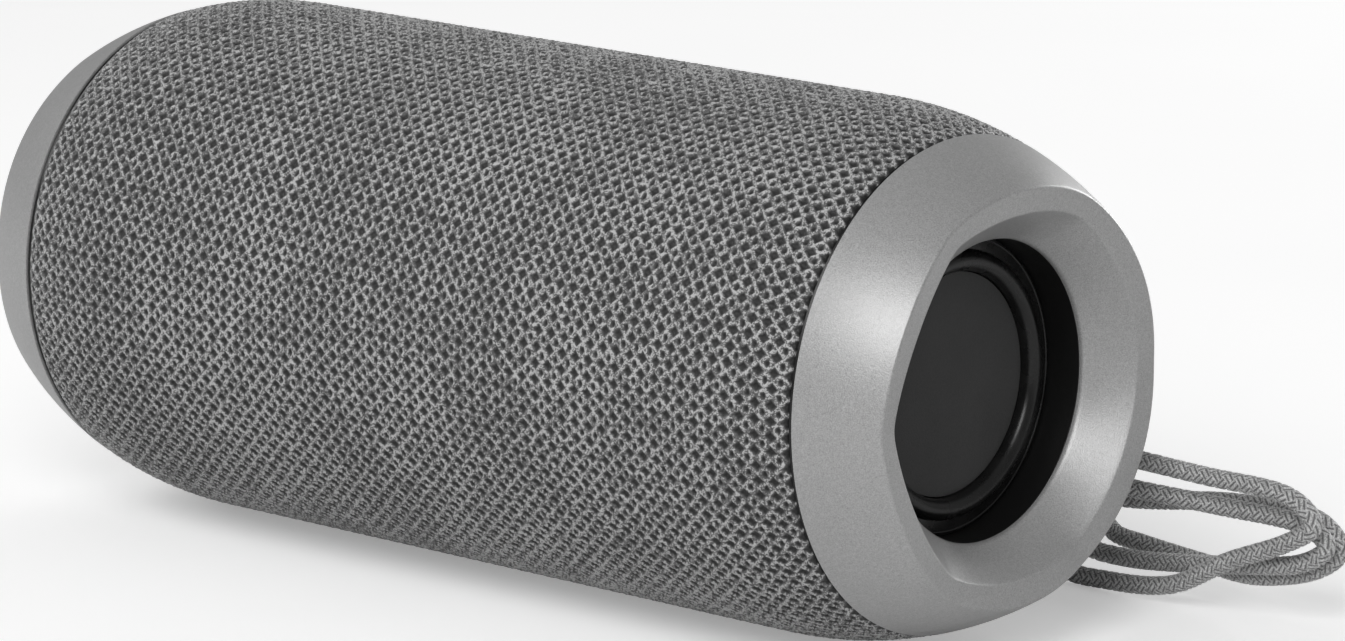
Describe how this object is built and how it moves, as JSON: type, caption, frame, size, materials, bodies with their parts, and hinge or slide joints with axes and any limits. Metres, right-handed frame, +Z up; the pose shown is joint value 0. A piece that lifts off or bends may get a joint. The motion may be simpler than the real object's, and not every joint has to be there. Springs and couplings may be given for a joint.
{
  "type": "portable bluetooth speaker",
  "caption": "Fabric covered barrel speaker lying on its side, with rounded end caps, a passive radiator in each end, rear push buttons, a port flap and a cord strap.",
  "frame": {"origin": "centre of the foot's bottom face, on the table under the middle of the barrel", "axes": "+X along the barrel to the right end as seen from the front, -Y out of the front, +Y out of the rear control strip, +Z up"},
  "size_m": [0.1833, 0.0849, 0.0724],
  "materials": {
    "fabric": "open knitted polyester mesh over a dark backing",
    "cord": "braided cord",
    "cap_plastic": "satin, fine grain",
    "black_plastic": "fine moulded texture",
    "panel_plastic": "fine moulded texture",
    "button_plastic": "satin",
    "rubber": "glossy on the rolls, dull elsewhere",
    "radiator_plate": "matt, fine grain",
    "pressed_steel": "plated",
    "magnet": "ground ferrite and plated steel",
    "spider_cloth": "treated cloth",
    "cone_paper": "pressed paper pulp",
    "copper": "lacquered copper wire",
    "clear_plastic": "milky",
    "circuit_board": "solder mask",
    "chip_plastic": "moulded",
    "connector_plastic": "moulded",
    "battery_wrap": "shrink wrapped can",
    "wire_cover": "extruded",
    "screw_steel": "zinc plated"
  },
  "bodies": {
    "housing": {"fabric_sleeve": "fabric", "chassis_front": "black_plastic", "chassis_rear": "black_plastic", "end_cap_left": "cap_plastic", "end_cap_right": "cap_plastic", "seam_ring_left": "rubber", "seam_ring_right": "rubber", "radiator_frame_left": "black_plastic", "radiator_frame_right": "black_plastic", "radiator_surround_left": "rubber", "radiator_surround_right": "rubber", "driver_basket_left": "pressed_steel", "driver_basket_right": "pressed_steel", "driver_magnet_left": "magnet", "driver_magnet_right": "magnet", "driver_gasket_left": "rubber", "driver_gasket_right": "rubber", "driver_surround_left": "rubber", "driver_surround_right": "rubber", "driver_spider_left": "spider_cloth", "driver_spider_right": "spider_cloth", "control_panel": "panel_plastic", "light_guide": "clear_plastic", "main_board": "circuit_board", "tact_switches": "pressed_steel", "usb_c_socket": "pressed_steel", "usb_a_socket": "pressed_steel", "aux_socket": "black_plastic", "card_socket": "pressed_steel", "bluetooth_module": "pressed_steel", "amplifier_chip": "chip_plastic", "capacitors": "chip_plastic", "microphone": "pressed_steel", "battery_connector": "connector_plastic", "battery_cell": "battery_wrap", "battery_cradle": "black_plastic", "battery_wires": "wire_cover", "speaker_wires": "wire_cover", "rubber_foot": "rubber", "strap_lug": "panel_plastic", "strap_pin": "screw_steel", "chassis_screws": "screw_steel", "radiator_screws": "screw_steel", "driver_screws": "screw_steel", "inner_screws": "screw_steel"},
    "radiator_left": {"radiator_disc_left": "radiator_plate"},
    "radiator_right": {"radiator_disc_right": "radiator_plate"},
    "diaphragm_left": {"driver_cone_left": "cone_paper", "dust_cap_left": "cone_paper", "voice_coil_left": "copper"},
    "diaphragm_right": {"driver_cone_right": "cone_paper", "dust_cap_right": "cone_paper", "voice_coil_right": "copper"},
    "mode_button": {"button_mode": "button_plastic"},
    "volume_down_button": {"button_volume_down": "button_plastic"},
    "play_button": {"button_play": "button_plastic"},
    "volume_up_button": {"button_volume_up": "button_plastic"},
    "power_button": {"button_power": "button_plastic"},
    "port_flap": {"port_cover": "rubber"},
    "strap": {"strap_cord": "cord"}
  },
  "joints": [
    {"name": "radiator_left_travel", "type": "slide", "parent": "housing", "child": "radiator_left", "axis": [-1, 0, 0], "range_m": [-0.0015, 0.0015], "stiffness_N_per_m": 600},
    {"name": "radiator_right_travel", "type": "slide", "parent": "housing", "child": "radiator_right", "axis": [1, 0, 0], "range_m": [-0.0015, 0.0015], "stiffness_N_per_m": 600},
    {"name": "diaphragm_left_travel", "type": "slide", "parent": "housing", "child": "diaphragm_left", "axis": [0, -1, 0], "range_m": [-0.001, 0.001], "stiffness_N_per_m": 1200},
    {"name": "diaphragm_right_travel", "type": "slide", "parent": "housing", "child": "diaphragm_right", "axis": [0, -1, 0], "range_m": [-0.001, 0.001], "stiffness_N_per_m": 1200},
    {"name": "mode_press", "type": "slide", "parent": "housing", "child": "mode_button", "axis": [0, -1, 0], "range_m": [0, 0.0004], "stiffness_N_per_m": 900, "springref_m": -0.0002},
    {"name": "volume_down_press", "type": "slide", "parent": "housing", "child": "volume_down_button", "axis": [0, -1, 0], "range_m": [0, 0.0004], "stiffness_N_per_m": 900, "springref_m": -0.0002},
    {"name": "play_press", "type": "slide", "parent": "housing", "child": "play_button", "axis": [0, -1, 0], "range_m": [0, 0.0004], "stiffness_N_per_m": 900, "springref_m": -0.0002},
    {"name": "volume_up_press", "type": "slide", "parent": "housing", "child": "volume_up_button", "axis": [0, -1, 0], "range_m": [0, 0.0004], "stiffness_N_per_m": 900, "springref_m": -0.0002},
    {"name": "power_press", "type": "slide", "parent": "housing", "child": "power_button", "axis": [0, -1, 0], "range_m": [0, 0.0004], "stiffness_N_per_m": 900, "springref_m": -0.0002},
    {"name": "port_cover_hinge", "type": "hinge", "parent": "housing", "child": "port_flap", "pos_m": [0.027, 0.0359, 0.02955], "axis": [-1, 0, 0], "range_deg": [0, 110]},
    {"name": "strap_swing", "type": "hinge", "parent": "housing", "child": "strap", "pos_m": [0.056, 0.0382, 0.0175], "axis": [0, 0, 1], "range_deg": [0, 75]}
  ]
}
